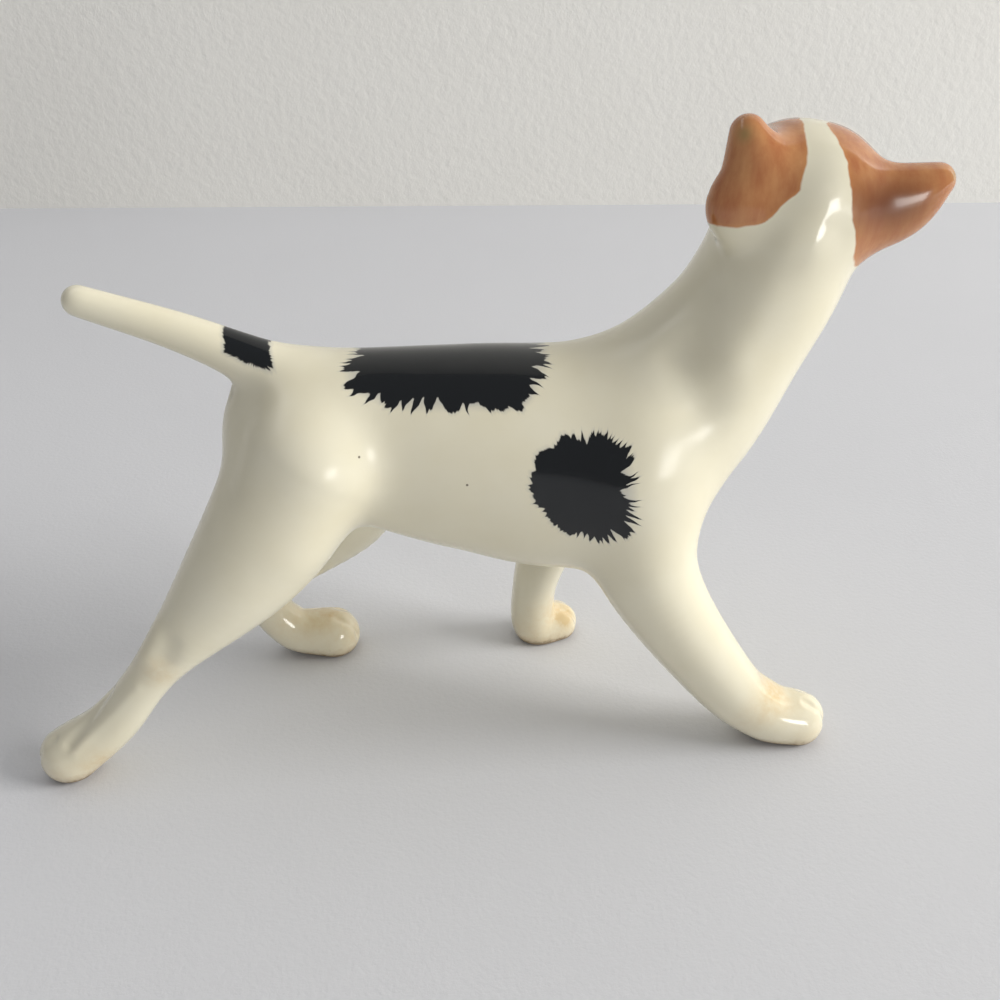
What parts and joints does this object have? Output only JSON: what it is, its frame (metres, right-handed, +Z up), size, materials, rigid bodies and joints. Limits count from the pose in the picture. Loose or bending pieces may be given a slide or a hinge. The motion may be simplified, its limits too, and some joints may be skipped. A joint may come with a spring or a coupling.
{
  "type": "dog figurine",
  "caption": "Glazed earthenware figurine of a walking terrier with its head turned to the left, standing on the flat soles of its paws.",
  "frame": {"origin": "on the surface it stands on, under the middle of its bounding box", "axes": "+X from rump to chest, +Y to the dog's left, +Z up"},
  "size_m": [0.1659, 0.0493, 0.1178],
  "materials": {
    "glazed_body": "cream glaze over white earthenware, with black painted patches",
    "glazed_head": "cream glaze with two tan painted patches",
    "glazed_ear": "tan paint under a clear glaze",
    "glazed_leg": "cream glaze, amber where it pools, unglazed soles",
    "glazed_tail": "cream glaze with a black painted patch at the root",
    "joining_slip": "fired slip, matt"
  },
  "bodies": {
    "root": {"body_casting": "glazed_body", "head_casting": "glazed_head", "left_ear": "glazed_ear", "right_ear": "glazed_ear", "tail": "glazed_tail", "front_right_leg": "glazed_leg", "front_left_leg": "glazed_leg", "hind_right_leg": "glazed_leg", "hind_left_leg": "glazed_leg", "leg_joints": "joining_slip", "ear_joints": "joining_slip", "neck_joint": "joining_slip", "tail_joint": "joining_slip"}
  },
  "joints": []
}
